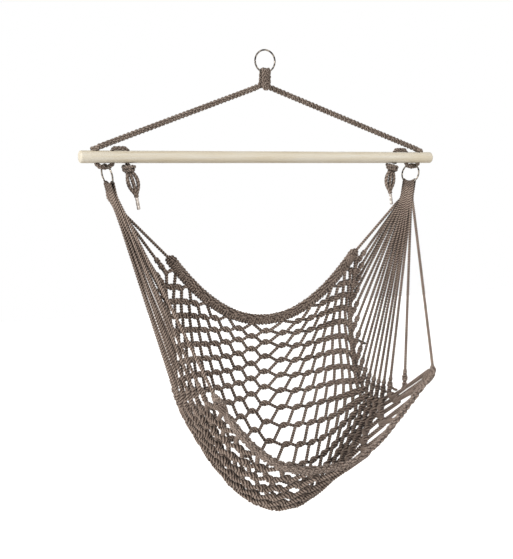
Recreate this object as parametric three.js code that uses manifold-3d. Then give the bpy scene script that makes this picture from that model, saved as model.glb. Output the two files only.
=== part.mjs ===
// Hammock chair: a net of twisted cotton cord slung between two fans of cord,
// each gathered on a steel ring, below a wooden spreader bar that hangs by one rope from one ring.
// The origin is where a hook bears on the hanging ring, with +X along the bar and -Y to the sitter's front.
import * as THREE from "three";
import Module from "manifold-3d";
import { mergeVertices } from "three/addons/utils/BufferGeometryUtils.js";

const wasm = await Module();
wasm.setup();

// Fits shared by all the pieces, in millimetres
const touch = 0.35; // gap between pieces that bear on each other
const overrun = 4; // how far a cutter passes the faces that it cuts

// Hanging ring
const hangingRingOuter = 58;
const hangingWire = 4.2;

// Spreader bar, its axis below the hook's seat and its middle a little to one side of it
const barLength = 965;
const barDiameter = 29;
const barEndRound = 5;
const barDrop = 258;
const barOffset = 12;
const holeInset = 41; // from the bar's end to its outermost hole
const holePitch = 37;
const holesPerEnd = 3;
const holeClearance = 0.5;

// Suspension rope
const ropeDiameter = 11;
const ropePressShare = 0.8; // the rope's thickness where it bears on the bar or a ring
const ropeBendShare = 1.1; // smallest bend of its middle line, in rope radii
const hitchLength = 33; // from the ring's wire to the turn of the hitch's bight
const hitchSplayDrop = 17; // from the ring's wire to where the legs turn outwards
const hitchStrandGap = 0.8;
const ropeLift = 6; // how far the rope stands out of the bar before its leg sets off
const ropeSides = 8;

// Stopper knots, the loosened strands of the free tails, and the tips that hold these together
const knotDiameter = 32;
const knotHeight = 20;
const knotTurns = 2;
const knotGrooveShare = 0.14;
const knotCoreShare = 0.42;
const strandsPerRope = 3;
const strandDiameter = 9;
const strandEndShare = 0.7; // how far a strand thins where the tail closes
const tailWidth = 35;
const tailLength = 56;
const tailSteps = 7;
const tailThroat = 5; // width across the strands' middle lines where the tail closes
const knotShifts = { left: 3, right: -6 }; // how far a knot sits to one side of its hole
const tailSways = { left: 11, right: -7 }; // how far a tail's middle stands from under its knot
const tailDrifts = { left: 18, right: -5 }; // how far its end does
const tipLength = 29;
const tipDiameter = 9;
const tipFlatShare = 0.72;

// Seat rings, leaning in towards the seat and twisted a little on the rope
const seatRingOuter = 55;
const seatWire = 4.2;
const seatRingLean = THREE.MathUtils.degToRad(14);
const seatRingTwists = { left: THREE.MathUtils.degToRad(9), right: THREE.MathUtils.degToRad(24) };
const ringSides = 8;
const ringSteps = 28;

// Clews: turns of cord pressed together over the seat ring, whose arms run to the net's side edge
const cordDiameter = 5.2;
const cordSides = 6;
const clewColumns = 6; // arms side by side along the ring
const clewRows = 3; // arms one behind the other through the ring
const clewColumnPitch = 6.1;
const clewRowPitch = 6.4;
const clewTurnThickness = 6; // of the pressed turns over the wire
const gatherLength = 13; // below the ring's wire, before the arms spread
const clewTwistShare = 0; // how far the arms follow their ring's twist
const spliceLength = 44;
const spliceDiameter = 10.5;

// Net
const meshColumns = 20; // spaces from one side edge to the other
const meshRows = 16; // spaces from the back rim to the front rim
const jointLength = 15; // where two strands twist round each other
const jointHeight = 9;
const jointDepth = 7.5;
const edgeJointLength = 5;
const sideJointShare = 0.45; // length of the joints next to the side edges
const sideStrandShare = 0.7; // height and depth of the joints at and next to the side edges
const crowdingShare = 0.5; // how much wider the meshes stand at the middle than at the sides

// Rims
const backRimDiameter = 18;
const frontRimDiameter = 15;
const rimTail = 13; // how far a rim's tapered end follows its clew cord
const rimTipShare = 0.55;
const rimSteps = 28;
const rimSides = 8;

// Seat: the size that the net is hung to, measured from the bar's axis
const seatWidth = 582; // between the front corners
const seatReach = 290; // forward to the front corners
const seatDrop = 862; // down to the lowest row

// The net's shape at stations from its back edge to its front edge, as shares of the seat's sizes
const stationShares = [0, 0.094, 0.219, 0.344, 0.469, 0.594, 0.719, 0.844, 0.906, 0.969, 1];
const leftWidthShares = [0.92, 0.93, 0.89, 0.865, 0.882, 0.895, 0.925, 0.942, 0.95, 0.96, 0.965];
const leftReachShares = [-0.055, -0.069, -0.075, -0.04, 0.03, 0.12, 0.3, 0.58, 0.72, 0.87, 1];
const leftDropShares = [0.299, 0.364, 0.45, 0.539, 0.629, 0.678, 0.684, 0.66, 0.643, 0.621, 0.602];
const rightWidthShares = [0.914, 0.9, 0.88, 0.869, 0.88, 0.9, 0.931, 0.959, 0.976, 0.99, 1];
const rightReachShares = [-0.055, -0.069, -0.095, -0.05, 0.01, 0.08, 0.185, 0.32, 0.405, 0.63, 1];
const rightDropShares = [0.302, 0.362, 0.441, 0.53, 0.622, 0.685, 0.712, 0.715, 0.7, 0.665, 0.589];
const middleReachShares = [-0.069, -0.076, -0.09, -0.03, 0.15, 0.4, 0.63, 0.745, 0.79, 0.85, 0.879];
const middleDropShares = [0.492, 0.542, 0.631, 0.722, 0.82, 0.91, 0.962, 0.929, 0.901, 0.868, 0.853];
const middleShiftShares = [0, 0, -0.004, -0.023, -0.063, -0.122, -0.146, -0.087, -0.047, 0.002, 0.027];
const leftSagShares = [2.08, 1.98, 1.83, 1.7, 1.58, 1.72, 2.07, 2.3, 2.3, 2.3, 2.3];
const rightSagShares = [2.08, 1.98, 1.9, 1.8, 1.6, 2.0, 2.6, 3.0, 3.0, 2.8, 2.5];
// How evenly the net's depth runs across, and how far its cords are drawn in on the right
const leftRoundShares = [2, 2, 2, 2, 2, 2, 2, 2, 2, 2, 2];
const rightRoundShares = [2, 2, 2, 1.8, 1.4, 1.2, 1.1, 1.2, 1.3, 1.6, 1.8];
const rightDrawShares = [0, 0, 0, 0, 0.2, 0.5, 0.8, 0.8, 0.75, 0.65, 0.6];

// Net panels: first and last joint column, and first and last row, of each
const columnGroups = { left: [0, 6], middle: [7, 13], right: [14, meshColumns] };
const rowGroups = { back: [0, 4], lumbar: [4.5, 8], seat: [8.5, 12], front: [12.5, meshRows] };

// Sizes that follow from those above
const barRadius = barDiameter / 2;
const ropeRadius = ropeDiameter / 2;
const pressedRadius = ropeRadius * ropePressShare;
const cordRadius = cordDiameter / 2;
const hangingWireRadius = hangingWire / 2;
const seatWireRadius = seatWire / 2;
const seatRingRadius = (seatRingOuter - seatWire) / 2;
const hangingRingRadius = (hangingRingOuter - hangingWire) / 2;
const outerHole = barLength / 2 - holeInset;
const middleHole = outerHole - holePitch;
const innerHole = middleHole - holePitch;
const bightMiddle = (outerHole + middleHole) / 2;
const bightDrop = barRadius + touch + seatWire + touch + pressedRadius;
const sides = { left: -1, right: 1 };

const chair = new THREE.Group();
chair.name = "hammock_chair";

// Everything below the hanging ring is placed from the bar's middle
const fromBar = new THREE.Group();
fromBar.position.set(barOffset, 0, -barDrop);
chair.add(fromBar);

const steel = { color: 0xb9b6b0, roughness: 0.22, metalness: 1 };
const wood = { color: 0xe8d8bd, roughness: 0.6, metalness: 0 };
const rope = { color: 0x85786b, roughness: 0.95, metalness: 0 };
const cotton = { color: 0x7d7063, roughness: 0.95, metalness: 0 };

function addPiece(parent, name, geometry, finish) {
  const mesh = new THREE.Mesh(geometry, new THREE.MeshStandardMaterial(finish));
  mesh.name = name;
  parent.add(mesh);
  return mesh;
}

const vec = (x, y, z) => new THREE.Vector3(x, y, z);

// A route through points chosen one by one, which an extrusion follows without respacing them
class Route extends THREE.Curve {
  constructor(points) {
    super();
    this.points = points;
  }
  getPoint(share, target = new THREE.Vector3()) {
    const place = share * (this.points.length - 1);
    const from = Math.min(Math.floor(place), this.points.length - 2);
    return target.lerpVectors(this.points[from], this.points[from + 1], place - from);
  }
  getPointAt(share, target) {
    return this.getPoint(share, target);
  }
  getTangentAt(share, target = new THREE.Vector3()) {
    const last = this.points.length - 1;
    const here = Math.round(share * last);
    const before = this.points[Math.max(here - 1, 0)];
    const after = this.points[Math.min(here + 1, last)];
    return target.subVectors(after, before).normalize();
  }
}

function circlePoints(radius, count) {
  const points = [];
  for (let i = 0; i < count; i += 1) {
    const turn = (2 * Math.PI * i) / count;
    points.push(new THREE.Vector2(radius * Math.cos(turn), radius * Math.sin(turn)));
  }
  return points;
}

// A cord along a route: a unit tube whose rings then swell to the cord's own radius at each point
function cordGeometry(points, radii, count) {
  const geometry = new THREE.ExtrudeGeometry(new THREE.Shape(circlePoints(1, count)), {
    steps: points.length - 1,
    bevelEnabled: false,
    extrudePath: new Route(points),
  });
  const position = geometry.attributes.position;
  const vertex = new THREE.Vector3();
  for (let i = 0; i < position.count; i += 1) {
    vertex.fromBufferAttribute(position, i);
    let nearest = 0;
    points.forEach((point, j) => {
      if (point.distanceTo(vertex) < points[nearest].distanceTo(vertex)) nearest = j;
    });
    vertex.sub(points[nearest]).multiplyScalar(radii[nearest]).add(points[nearest]);
    position.setXYZ(i, vertex.x, vertex.y, vertex.z);
  }
  return closed(geometry);
}

// Merges the shared vertices, so that only a closed surface is left
function closed(geometry) {
  geometry.deleteAttribute("normal");
  geometry.deleteAttribute("uv");
  return mergeVertices(geometry, 1e-4);
}

function toSolid(geometry) {
  const vertProperties = new Float32Array(geometry.attributes.position.array);
  const triVerts = new Uint32Array(geometry.index.array);
  return new wasm.Manifold(new wasm.Mesh({ numProp: 3, vertProperties, triVerts }));
}

function fromSolid(solid) {
  const mesh = solid.getMesh();
  const geometry = new THREE.BufferGeometry();
  geometry.setAttribute("position", new THREE.BufferAttribute(mesh.vertProperties, 3));
  geometry.setIndex(new THREE.BufferAttribute(mesh.triVerts, 1));
  return geometry;
}

// Hanging ring, its inner top at the origin
function addHangingRing() {
  const geometry = closed(new THREE.TorusGeometry(hangingRingRadius, hangingWireRadius, ringSides, ringSteps));
  const ring = addPiece(chair, "hanging_ring", geometry, steel);
  ring.rotation.x = Math.PI / 2;
  ring.position.z = hangingWireRadius - hangingRingRadius;
}

// Spreader bar: a dowel with rounded ends and three upright holes near each
function addBar() {
  const arcSteps = 4;
  const profile = [new THREE.Vector2(0, -barLength / 2)];
  for (const end of [-1, 1]) {
    for (let i = 0; i <= arcSteps; i += 1) {
      const step = end < 0 ? i : arcSteps - i;
      const turn = (Math.PI / 2) * (step / arcSteps);
      const radius = barRadius - barEndRound + barEndRound * Math.sin(turn);
      const along = end * (barLength / 2 - barEndRound + barEndRound * Math.cos(turn));
      profile.push(new THREE.Vector2(radius, along));
    }
  }
  profile.push(new THREE.Vector2(0, barLength / 2));
  const dowel = new THREE.LatheGeometry(profile, 24);
  dowel.rotateZ(-Math.PI / 2);
  let solid = toSolid(closed(dowel));
  for (const side of Object.values(sides)) {
    for (let hole = 0; hole < holesPerEnd; hole += 1) {
      const length = barDiameter + 2 * overrun;
      const drill = new THREE.CylinderGeometry(ropeRadius + holeClearance, ropeRadius + holeClearance, length, 16);
      drill.rotateX(Math.PI / 2);
      drill.translate(side * (outerHole - hole * holePitch), 0, 0);
      solid = solid.subtract(toSolid(closed(drill)));
    }
  }
  addPiece(fromBar, "spreader_bar", fromSolid(solid), wood);
}

// Points of a part turn about a centre, from one angle to another, in the plane of two directions
function turnPoints(centre, across, up, radiusAcross, radiusUp, from, to, steps) {
  const points = [];
  for (let i = 0; i <= steps; i += 1) {
    const turn = from + ((to - from) * i) / steps;
    const point = centre.clone();
    point.addScaledVector(across, radiusAcross * Math.cos(turn));
    point.addScaledVector(up, radiusUp * Math.sin(turn));
    points.push(point);
  }
  return points;
}

// Half of the suspension rope, from its stopper knot to the middle of the hitch on the hanging ring
function ropeHalf(side) {
  const route = [];
  const add = (point, radius) => route.push({ point, radius });
  const xAxis = vec(side, 0, 0);
  const zAxis = vec(0, 0, 1);
  const bend = ropeRadius * ropeBendShare;
  const crown = barRadius + touch + pressedRadius;
  const knotTop = -barRadius - touch;

  // Up through the innermost hole, over the bar and down through the middle hole
  add(vec(side * innerHole, 0, knotTop), ropeRadius);
  const over = crown - bend;
  turnPoints(vec(side * (innerHole + bend), 0, over), xAxis, zAxis, bend, bend, Math.PI, Math.PI / 2, 3).forEach(
    (point) => add(point, pressedRadius),
  );
  turnPoints(vec(side * (middleHole - bend), 0, over), xAxis, zAxis, bend, bend, Math.PI / 2, 0, 3).forEach(
    (point) => add(point, pressedRadius),
  );

  // The bight that carries the seat ring, then up through the outermost hole
  add(vec(side * middleHole, 0, 0), ropeRadius);
  const sag = bightDrop - barRadius;
  const bight = turnPoints(vec(side * bightMiddle, 0, -barRadius), xAxis, zAxis, holePitch / 2, sag, Math.PI, 2 * Math.PI, 8);
  bight.forEach((point) => add(point, pressedRadius));
  add(vec(side * outerHole, 0, 0), ropeRadius);

  // The leg, up to the hitch's back strand
  const strand = ropeRadius + hitchStrandGap / 2;
  const wireZ = barDrop - 2 * hangingRingRadius + hangingWireRadius;
  const overWire = hangingWireRadius + touch + pressedRadius;
  const strandX = side * strand - barOffset;
  const wireRise = hangingRingRadius - Math.sqrt(hangingRingRadius ** 2 - strand ** 2);
  const legEnd = vec(strandX + side * bend * 2, overWire, wireZ - hitchSplayDrop - bend);
  const corner = vec(side * outerHole, 0, barRadius + ropeLift);
  const legWay = legEnd.clone().sub(corner).normalize();
  add(vec(side * outerHole, 0, barRadius - bend / 2), pressedRadius);
  add(corner.clone().addScaledVector(zAxis, -bend / 3).addScaledVector(legWay, bend / 4), ropeRadius);
  add(corner.clone().addScaledVector(legWay, bend), ropeRadius);
  add(corner.clone().lerp(legEnd, 0.5), ropeRadius);
  add(legEnd, ropeRadius);
  add(vec(strandX + side * bend * 0.5, overWire, wireZ - hitchSplayDrop), ropeRadius);
  add(vec(strandX, overWire, wireZ - hitchSplayDrop + bend), ropeRadius);

  // Over the ring's wire, and down in front to the middle of the hitch's bight
  const saddle = vec(strandX, 0, wireZ + wireRise);
  turnPoints(saddle, vec(0, 1, 0), zAxis, overWire, overWire, 0, Math.PI, 8).forEach((point) =>
    add(point, pressedRadius),
  );
  const turnZ = wireZ - hitchLength;
  turnPoints(vec(-barOffset, -overWire, turnZ), xAxis, zAxis, strand, strand, 0, -Math.PI / 2, 3).forEach((point) =>
    add(point, ropeRadius),
  );
  return route;
}

// The whole rope: one cord from knot to knot, joined with its knots and its free tails
function addSuspensionRope() {
  const left = ropeHalf(sides.left);
  const right = ropeHalf(sides.right);
  right.pop();
  const route = left.concat(right.reverse());
  const points = route.map((stop) => stop.point);
  const radii = route.map((stop) => stop.radius);
  let solid = toSolid(cordGeometry(points, radii, ropeSides));
  for (const [name, side] of Object.entries(sides)) {
    solid = solid.add(toSolid(knotGeometry(side, name)));
    for (let strand = 0; strand < strandsPerRope; strand += 1) {
      solid = solid.add(toSolid(tailStrandGeometry(side, name, strand)));
    }
  }
  addPiece(fromBar, "suspension_rope", fromSolid(solid), rope);
}

// Stopper knot: the rope's turns drawn up tight below the innermost hole
function knotGeometry(side, name) {
  const steps = 4 * knotTurns;
  const profile = [new THREE.Vector2(0, -knotHeight)];
  for (let i = steps; i >= 0; i -= 1) {
    const share = i / steps;
    const swell = knotCoreShare + (1 - knotCoreShare) * Math.sin(Math.PI * share) ** 0.5;
    const groove = knotGrooveShare * Math.cos(2 * Math.PI * knotTurns * share) ** 2 * Math.sin(Math.PI * share);
    profile.push(new THREE.Vector2((knotDiameter / 2) * (swell - groove), -knotHeight * share));
  }
  profile.push(new THREE.Vector2(0, 0));
  const barrel = new THREE.LatheGeometry(profile, 12);
  barrel.rotateX(Math.PI / 2);
  barrel.translate(side * innerHole + knotShifts[name], 0, -barRadius - touch);
  return closed(barrel);
}

// The middle line of a free tail, from inside its knot to its tip
function tailMiddle(side, name, share) {
  const foot = vec(side * innerHole + knotShifts[name], 0, -barRadius - touch - knotHeight + strandDiameter / 2);
  const sway = 4 * share * (1 - share) * (tailSways[name] - tailDrifts[name] / 2) + share * tailDrifts[name];
  return foot.add(vec(sway, 0, -share * (tailLength + strandDiameter / 2)));
}

function tailWay(side, name, share) {
  return tailMiddle(side, name, share).sub(tailMiddle(side, name, share - 1 / tailSteps)).normalize();
}

// A free tail's strands bow apart below the knot and close again at the tip
function tailStrandGeometry(side, name, strand) {
  const place = (2 * strand) / (strandsPerRope - 1) - 1;
  const points = [];
  const radii = [];
  for (let i = 0; i <= tailSteps; i += 1) {
    const share = i / tailSteps;
    const bow = Math.sin(Math.PI * Math.min(i / (tailSteps - 1), 1)) ** 0.8;
    const half = (tailThroat + (tailWidth - strandDiameter - tailThroat) * bow) / 2;
    const way = tailWay(side, name, share);
    points.push(tailMiddle(side, name, share).addScaledVector(vec(-way.z, 0, way.x), place * half));
    radii.push((strandDiameter / 2) * (strandEndShare + (1 - strandEndShare) * bow));
  }
  return cordGeometry(points, radii, ropeSides);
}

// The crimped tip runs on from the tail's end
function addTip(side, name) {
  const end = tailMiddle(side, name, 1);
  const way = tailWay(side, name, 1);
  const crimp = new THREE.CylinderGeometry(tipDiameter / 2, tipDiameter / 2, tipLength, 12);
  crimp.scale(1, 1, tipFlatShare);
  const tip = addPiece(fromBar, `rope_tip_${name}`, closed(crimp), steel);
  tip.quaternion.setFromUnitVectors(vec(0, -1, 0), way);
  tip.position.copy(end).addScaledVector(way, touch + tipLength / 2);
}

// A seat ring's own frame: its middle, the way through it, the way along its wire at the bottom, and up
function seatRingFrame(side, name, twistShare = 1) {
  const turn = new THREE.Matrix4().makeRotationZ(twistShare * seatRingTwists[name]);
  turn.multiply(new THREE.Matrix4().makeRotationY(side * seatRingLean));
  const top = vec(side * bightMiddle, 0, -barRadius - touch - seatWireRadius);
  const up = vec(0, 0, 1).transformDirection(turn);
  return {
    turn,
    through: vec(1, 0, 0).transformDirection(turn),
    along: vec(0, 1, 0).transformDirection(turn),
    up,
    middle: top.clone().addScaledVector(up, -seatRingRadius),
  };
}

function addSeatRing(side, name) {
  const frame = seatRingFrame(side, name);
  const geometry = new THREE.TorusGeometry(seatRingRadius, seatWireRadius, ringSides, ringSteps);
  geometry.rotateY(Math.PI / 2);
  const ring = addPiece(fromBar, `seat_ring_${name}`, closed(geometry), steel);
  ring.quaternion.setFromRotationMatrix(frame.turn);
  ring.position.copy(frame.middle);
}

// A value of one of the seat's tables at a share of the way from the back edge to the front edge
function follow(values, share) {
  let from = 0;
  while (from < stationShares.length - 2 && share > stationShares[from + 1]) from += 1;
  const slope = (i) => {
    const before = Math.max(i - 1, 0);
    const after = Math.min(i + 1, stationShares.length - 1);
    return (values[after] - values[before]) / (stationShares[after] - stationShares[before]);
  };
  const span = stationShares[from + 1] - stationShares[from];
  const t = (share - stationShares[from]) / span;
  const hold = (1 + 2 * t) * (1 - t) ** 2 * values[from] + t * t * (3 - 2 * t) * values[from + 1];
  const lean = t * (1 - t) ** 2 * slope(from) * span - t * t * (1 - t) * slope(from + 1) * span;
  return hold + lean;
}

// A place on the net: across runs from -1 at the left edge to 1 at the right, along from the back to the front
function netPoint(across, along) {
  const left = across < 0;
  const halfWidth = (seatWidth / 2) * follow(left ? leftWidthShares : rightWidthShares, along);
  const reach = Math.abs(across) * (1 + crowdingShare - crowdingShare * Math.abs(across));
  const inward = (power) => 1 - reach ** power;
  const edgeReach = follow(left ? leftReachShares : rightReachShares, along);
  const edgeDrop = follow(left ? leftDropShares : rightDropShares, along);
  const shift = (seatWidth / 2) * follow(middleShiftShares, along) * inward(2);
  const round = follow(left ? leftRoundShares : rightRoundShares, along);
  const sag = follow(left ? leftSagShares : rightSagShares, along);
  const drawn = left ? reach : reach - follow(rightDrawShares, along) * reach ** 2 * (1 - reach);
  const forward = edgeReach + (follow(middleReachShares, along) - edgeReach) * inward(round);
  const drop = edgeDrop + (follow(middleDropShares, along) - edgeDrop) * inward(sag);
  return vec(Math.sign(across) * halfWidth * drawn + shift, -seatReach * forward, -seatDrop * drop);
}

// The net's own directions at a place: along the row, up the column, through the net and square to the row
function netFrame(across, along) {
  const small = 0.01;
  const row = netPoint(across + small, along).sub(netPoint(across - small, along)).normalize();
  const column = netPoint(across, along - small).sub(netPoint(across, along + small)).normalize();
  const through = row.clone().cross(column).normalize();
  return { row, column, through, square: through.clone().cross(row) };
}

// A place in a clew: out through the ring, off along its wire and up from the wire's lowest point
function clewPlace(frame, out, offset, up) {
  const bottom = frame.middle.clone().addScaledVector(frame.up, -seatRingRadius);
  bottom.addScaledVector(frame.through, out);
  bottom.addScaledVector(frame.along, offset);
  return bottom.addScaledVector(frame.up, up);
}

// Where a clew's arm starts; arms are counted from the back rim's corner to the front rim's,
// and stand in rows from the seat outwards
function armStart(side, name, arm) {
  const column = arm % clewColumns;
  const row = Math.floor(arm / clewColumns);
  const offset = clewColumnPitch * ((clewColumns - 1) / 2 - column);
  const out = -side * clewRowPitch * ((clewRows - 1) / 2 - row);
  const frame = seatRingFrame(side, name, clewTwistShare);
  return clewPlace(frame, out, offset, -gatherLength - touch - cordDiameter / 2);
}

// Where an arm meets the net's side edge, and its way from there to the ring
function edgePlace(side, name, along) {
  const point = netPoint(side, along);
  const start = armStart(side, name, Math.round(along * meshRows + 0.5));
  return { point, toRing: start.sub(point).normalize() };
}

// A rim's middle line: beside the net's first or last row, then along its clew cords at the corners
function rimLine(along, diameter) {
  const outward = along < 0.5 ? 1 : -1;
  const points = [];
  for (let i = 0; i <= rimSteps; i += 1) {
    const across = -1 + (2 * i) / rimSteps;
    const frame = netFrame(across, along);
    const offset = outward * (diameter / 2 + jointHeight / 2 + touch);
    points.push(netPoint(across, along).addScaledVector(frame.square, offset));
  }
  return points;
}

function rimCorner(side, name, along, diameter) {
  const line = rimLine(along, diameter);
  const corner = side < 0 ? line[0] : line[line.length - 1];
  const toRing = armStart(side, name, along * (meshRows + 1)).sub(corner).normalize();
  return { point: corner.clone().addScaledVector(toRing, rimTail), toRing };
}

function addRim(name, along, diameter) {
  const points = rimLine(along, diameter);
  points.unshift(rimCorner(sides.left, "left", along, diameter).point);
  points.push(rimCorner(sides.right, "right", along, diameter).point);
  const radii = points.map(() => diameter / 2);
  radii[0] *= rimTipShare;
  radii[radii.length - 1] *= rimTipShare;
  addPiece(fromBar, name, cordGeometry(points, radii, rimSides), cotton);
}

// Where the arms of a side's clew cords end, from the back rim's corner to the front rim's
function armEnds(side, name) {
  const ends = [rimCorner(side, name, 0, backRimDiameter)];
  for (let row = 0; row < meshRows; row += 1) {
    ends.push(edgePlace(side, name, (row + 0.5) / meshRows));
  }
  ends.push(rimCorner(side, name, 1, frontRimDiameter));
  return ends;
}

// The turns of a clew: hairpins side by side over the ring's wire, pressed into one bundle
function addClewTurns(side, name) {
  const frame = seatRingFrame(side, name);
  const reach = ((clewRows - 1) * clewRowPitch + cordDiameter) / 2;
  const arch = seatWireRadius + touch + clewTurnThickness;
  const bevel = clewColumnPitch * 0.2;
  const archSteps = 6;
  let solid = null;
  for (let column = 0; column < clewColumns; column += 1) {
    const offset = clewColumnPitch * ((clewColumns - 1) / 2 - column);
    const farEdge = Math.abs(offset) + clewColumnPitch / 2;
    const rise = seatRingRadius - Math.sqrt(seatRingRadius ** 2 - farEdge ** 2);
    const outline = new THREE.Shape();
    outline.moveTo(-reach, -gatherLength);
    outline.lineTo(reach, -gatherLength);
    for (let i = 0; i <= archSteps; i += 1) {
      const turn = (Math.PI * i) / archSteps;
      outline.lineTo(reach * Math.cos(turn), rise + arch * Math.sin(turn));
    }
    outline.closePath();
    const hairpin = new THREE.ExtrudeGeometry(outline, {
      depth: clewColumnPitch - 2 * bevel + touch,
      bevelThickness: bevel,
      bevelSize: bevel,
      bevelOffset: -bevel,
      bevelSegments: 1,
      curveSegments: 1,
    });
    const place = new THREE.Matrix4().makeBasis(frame.through, frame.up, frame.along.clone().negate());
    place.setPosition(clewPlace(frame, 0, offset + clewColumnPitch / 2 - bevel + touch / 2, 0));
    hairpin.applyMatrix4(place);
    const turn = toSolid(closed(hairpin));
    solid = solid ? solid.add(turn) : turn;
  }
  const bore = new THREE.TorusGeometry(seatRingRadius, seatWireRadius + touch, ringSides, ringSteps);
  bore.rotateY(Math.PI / 2);
  bore.applyMatrix4(new THREE.Matrix4().copy(frame.turn).setPosition(frame.middle));
  addPiece(fromBar, `clew_turns_${name}`, fromSolid(solid.subtract(toSolid(closed(bore)))), cotton);
}

// The arms of a clew, each thickening into a splice at its tip
function addClewArms(side, name) {
  armEnds(side, name).forEach((end, arm) => {
    const start = armStart(side, name, arm);
    const tip = end.point.clone().addScaledVector(end.toRing, touch);
    const way = start.clone().sub(tip).normalize();
    const stops = [
      { point: tip, radius: (0.8 * spliceDiameter) / 2 },
      { point: tip.clone().addScaledVector(way, spliceLength * 0.25), radius: spliceDiameter / 2 },
      { point: tip.clone().addScaledVector(way, spliceLength * 0.8), radius: (0.9 * spliceDiameter) / 2 },
      { point: tip.clone().addScaledVector(way, spliceLength), radius: cordRadius },
      { point: start, radius: cordRadius },
    ];
    const geometry = cordGeometry(
      stops.map((stop) => stop.point),
      stops.map((stop) => stop.radius),
      cordSides,
    );
    addPiece(fromBar, `clew_cord_${name}_${String(arm + 1).padStart(2, "0")}`, geometry, cotton);
  });
}

// The corners of one end of a joint
function jointEnd(middle, column, through, sizeShare) {
  const height = (jointHeight / 2) * sizeShare;
  const depth = (jointDepth / 2) * sizeShare;
  return {
    top: middle.clone().addScaledVector(column, height),
    bottom: middle.clone().addScaledVector(column, -height),
    outer: middle.clone().addScaledVector(through, depth),
    inner: middle.clone().addScaledVector(through, -depth),
  };
}

// One joint of the net: a diamond prism whose ends split between two strands
function netJoint(column, row) {
  const across = (2 * column) / meshColumns - 1;
  const along = row / meshRows;
  const centre = netPoint(across, along);
  const frame = netFrame(across, along);
  const besideEdge = column === 1 || column === meshColumns - 1;
  const half = (jointLength / 2) * (besideEdge ? sideJointShare : 1);
  const end = (way, reach) =>
    jointEnd(centre.clone().addScaledVector(way, reach), frame.column, frame.through, besideEdge ? sideStrandShare : 1);
  const joint = { column, row, left: end(frame.row, -half), right: end(frame.row, half) };
  if (Math.abs(across) < 1) return joint;

  // At a side edge the joint meets its splice squarely
  const edge = edgePlace(across, across < 0 ? "left" : "right", along);
  const through = frame.through.clone().addScaledVector(edge.toRing, -frame.through.dot(edge.toRing)).normalize();
  const square = through.clone().cross(edge.toRing).multiplyScalar(-across);
  const met = jointEnd(centre, square.negate(), through, sideStrandShare);
  const inward = centre.clone().addScaledVector(edge.toRing, -edgeJointLength);
  const split = jointEnd(inward, frame.column, frame.through, sideStrandShare);
  joint.left = across < 0 ? met : split;
  joint.right = across < 0 ? split : met;
  return joint;
}

function netJoints() {
  const joints = new Map();
  for (let column = 0; column <= meshColumns; column += 1) {
    const first = column % 2 === 0 ? 0.5 : 0;
    for (let row = first; row <= meshRows; row += 1) {
      joints.set(`${column} ${row}`, netJoint(column, row));
    }
  }
  return joints;
}

// The corners that a joint's upper or lower strand grows from, in the same turning sense
function strandCorners(end, up) {
  return up ? [end.top, end.outer, end.inner] : [end.outer, end.bottom, end.inner];
}

// A strand cut by a seam between two panels ends square to itself, just short of its own middle
function strandStub(from, to) {
  const middle = (corners) => corners[0].clone().add(corners[1]).add(corners[2]).divideScalar(3);
  const start = middle(from);
  const way = middle(to).sub(start);
  const reach = (way.length() - touch) / 2;
  way.normalize();
  return from.map((point) => {
    const gone = point.clone().sub(start).dot(way);
    return point.clone().addScaledVector(way, reach - gone);
  });
}

// One panel of the net as a single closed lattice
function panelGeometry(joints, columns, rows) {
  const inPanel = (joint) =>
    joint && joint.column >= columns[0] && joint.column <= columns[1] && joint.row >= rows[0] && joint.row <= rows[1];
  const positions = [];
  const index = [];
  const numbers = new Map();
  const number = (point) => {
    if (!numbers.has(point)) {
      numbers.set(point, positions.length / 3);
      positions.push(point.x, point.y, point.z);
    }
    return numbers.get(point);
  };
  const face = (...points) => {
    for (let i = 2; i < points.length; i += 1) {
      index.push(number(points[0]), number(points[i - 1]), number(points[i]));
    }
  };
  // Straight walls between two like outlines
  const walls = (from, to) => {
    from.forEach((point, i) => {
      const next = (i + 1) % from.length;
      face(point, from[next], to[next], to[i]);
    });
  };
  // Walls between a triangle and one that is turned by half a corner
  const turningWalls = (from, to) => {
    from.forEach((point, i) => {
      const next = (i + 1) % from.length;
      face(point, from[next], to[i]);
      face(from[next], to[next], to[i]);
    });
  };
  for (const joint of joints.values()) {
    if (!inPanel(joint)) continue;
    const { left, right, column, row } = joint;
    walls(
      [left.top, left.outer, left.bottom, left.inner],
      [right.top, right.outer, right.bottom, right.inner],
    );
    for (const up of [true, false]) {
      const otherRow = row + (up ? -0.5 : 0.5);
      const near = strandCorners(right, up);
      const next = joints.get(`${column + 1} ${otherRow}`);
      if (inPanel(next)) {
        const { top, outer, bottom, inner } = next.left;
        turningWalls(near, up ? [outer, bottom, inner] : [outer, inner, top]);
      } else if (next) {
        const stub = strandStub(near, strandCorners(next.left, !up));
        walls(near, stub);
        face(...stub);
      } else {
        face(...near);
      }
      const far = strandCorners(left, up);
      const before = joints.get(`${column - 1} ${otherRow}`);
      if (before && !inPanel(before)) {
        const stub = strandStub(far, strandCorners(before.right, !up));
        walls(stub, far);
        face(...stub.reverse());
      } else if (!before) {
        face(...far.reverse());
      }
    }
  }
  const geometry = new THREE.BufferGeometry();
  geometry.setAttribute("position", new THREE.Float32BufferAttribute(positions, 3));
  geometry.setIndex(index);
  return geometry;
}

function addNet() {
  const joints = netJoints();
  for (const [rowName, rows] of Object.entries(rowGroups)) {
    for (const [columnName, columns] of Object.entries(columnGroups)) {
      addPiece(fromBar, `net_${rowName}_${columnName}`, panelGeometry(joints, columns, rows), cotton);
    }
  }
}

addHangingRing();
addBar();
addSuspensionRope();
for (const [name, side] of Object.entries(sides)) {
  addTip(side, name);
  addSeatRing(side, name);
  addClewTurns(side, name);
  addClewArms(side, name);
}
addNet();
addRim("back_rim", 0, backRimDiameter);
addRim("front_rim", 1, frontRimDiameter);

export default chair;
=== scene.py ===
import math

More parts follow.
